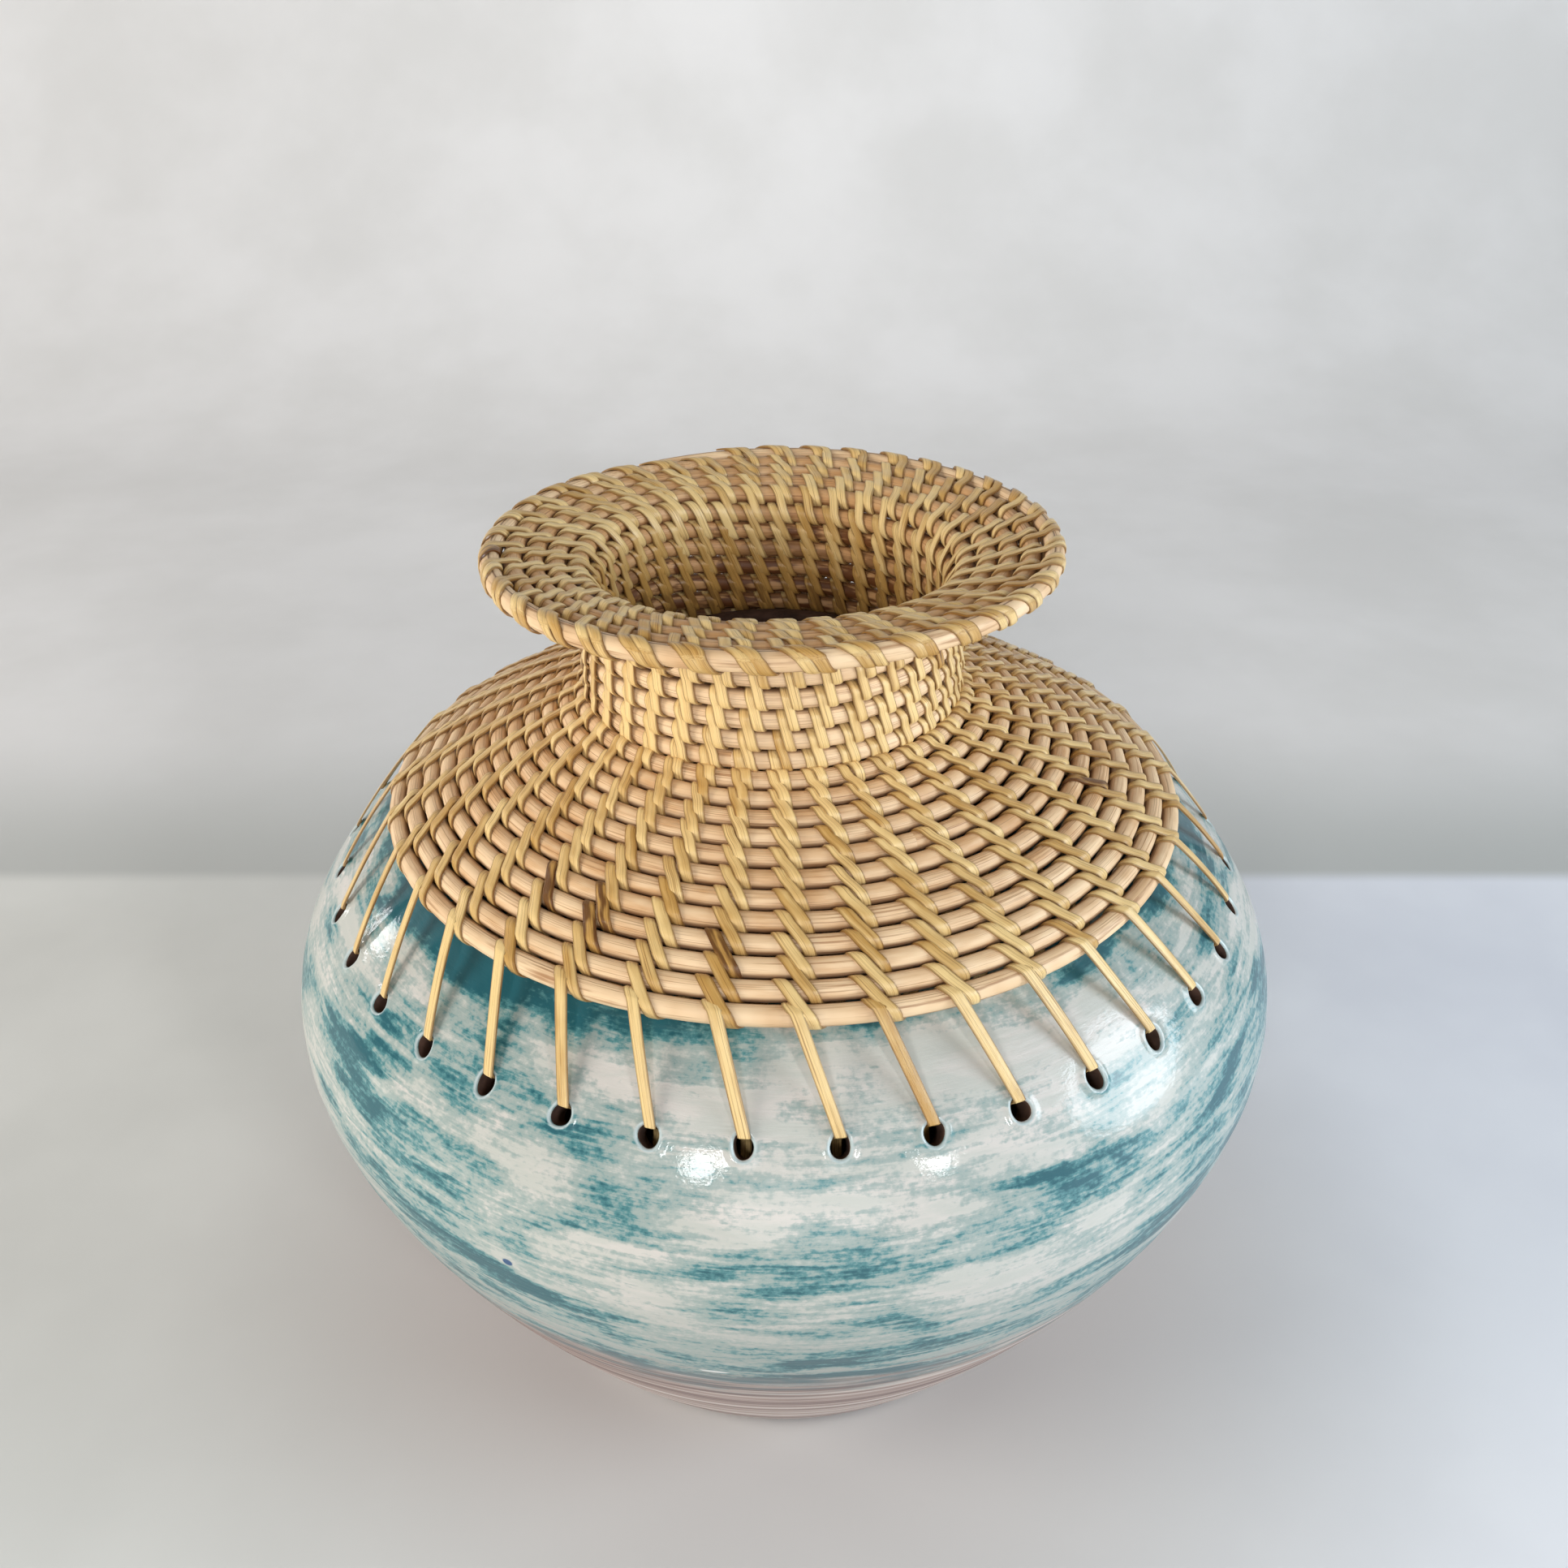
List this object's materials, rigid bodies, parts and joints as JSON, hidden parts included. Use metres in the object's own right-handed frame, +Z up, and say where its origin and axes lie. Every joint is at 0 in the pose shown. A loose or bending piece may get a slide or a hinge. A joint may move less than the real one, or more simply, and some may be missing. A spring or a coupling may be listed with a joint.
{
  "type": "round clay vase with a coiled rattan collar",
  "caption": "Round-bellied thrown clay vase with a coiled rattan shoulder, neck and flared rim, bound with rattan peel and laced to holes in the pot.",
  "frame": {"origin": "centre of the flat foot, on the surface that the vase stands on", "axes": "+Z up along the axis of the pot and the neck, -Y towards the front of the picture"},
  "size_m": [0.275, 0.275, 0.2463],
  "materials": {
    "painted_clay": "white and turquoise brushed paint under a clear gloss coat",
    "rattan_core": "peeled round core, satin",
    "rattan_peel": "flat peel strip, satin"
  },
  "bodies": {
    "root": {"pot_shell": "painted_clay", "shoulder_rod_1": "rattan_core", "shoulder_rod_2": "rattan_core", "shoulder_rod_3": "rattan_core", "neck_rod": "rattan_core", "flare_rod": "rattan_core", "rim_rod": "rattan_core", "edge_binding": "rattan_peel", "rim_binding": "rattan_peel", "lace_01": "rattan_peel", "lace_02": "rattan_peel", "lace_03": "rattan_peel", "lace_04": "rattan_peel", "lace_05": "rattan_peel", "lace_06": "rattan_peel", "lace_07": "rattan_peel", "lace_08": "rattan_peel", "lace_09": "rattan_peel", "lace_10": "rattan_peel", "lace_11": "rattan_peel", "lace_12": "rattan_peel", "lace_13": "rattan_peel", "lace_14": "rattan_peel", "lace_15": "rattan_peel", "lace_16": "rattan_peel", "lace_17": "rattan_peel", "lace_18": "rattan_peel", "lace_19": "rattan_peel", "lace_20": "rattan_peel", "lace_21": "rattan_peel", "lace_22": "rattan_peel", "lace_23": "rattan_peel", "lace_24": "rattan_peel", "lace_25": "rattan_peel", "lace_26": "rattan_peel", "lace_27": "rattan_peel", "lace_28": "rattan_peel", "lace_29": "rattan_peel", "lace_30": "rattan_peel", "lace_31": "rattan_peel", "lace_32": "rattan_peel", "lace_33": "rattan_peel", "lace_34": "rattan_peel", "lace_35": "rattan_peel", "lace_36": "rattan_peel", "lace_37": "rattan_peel"}
  },
  "joints": []
}
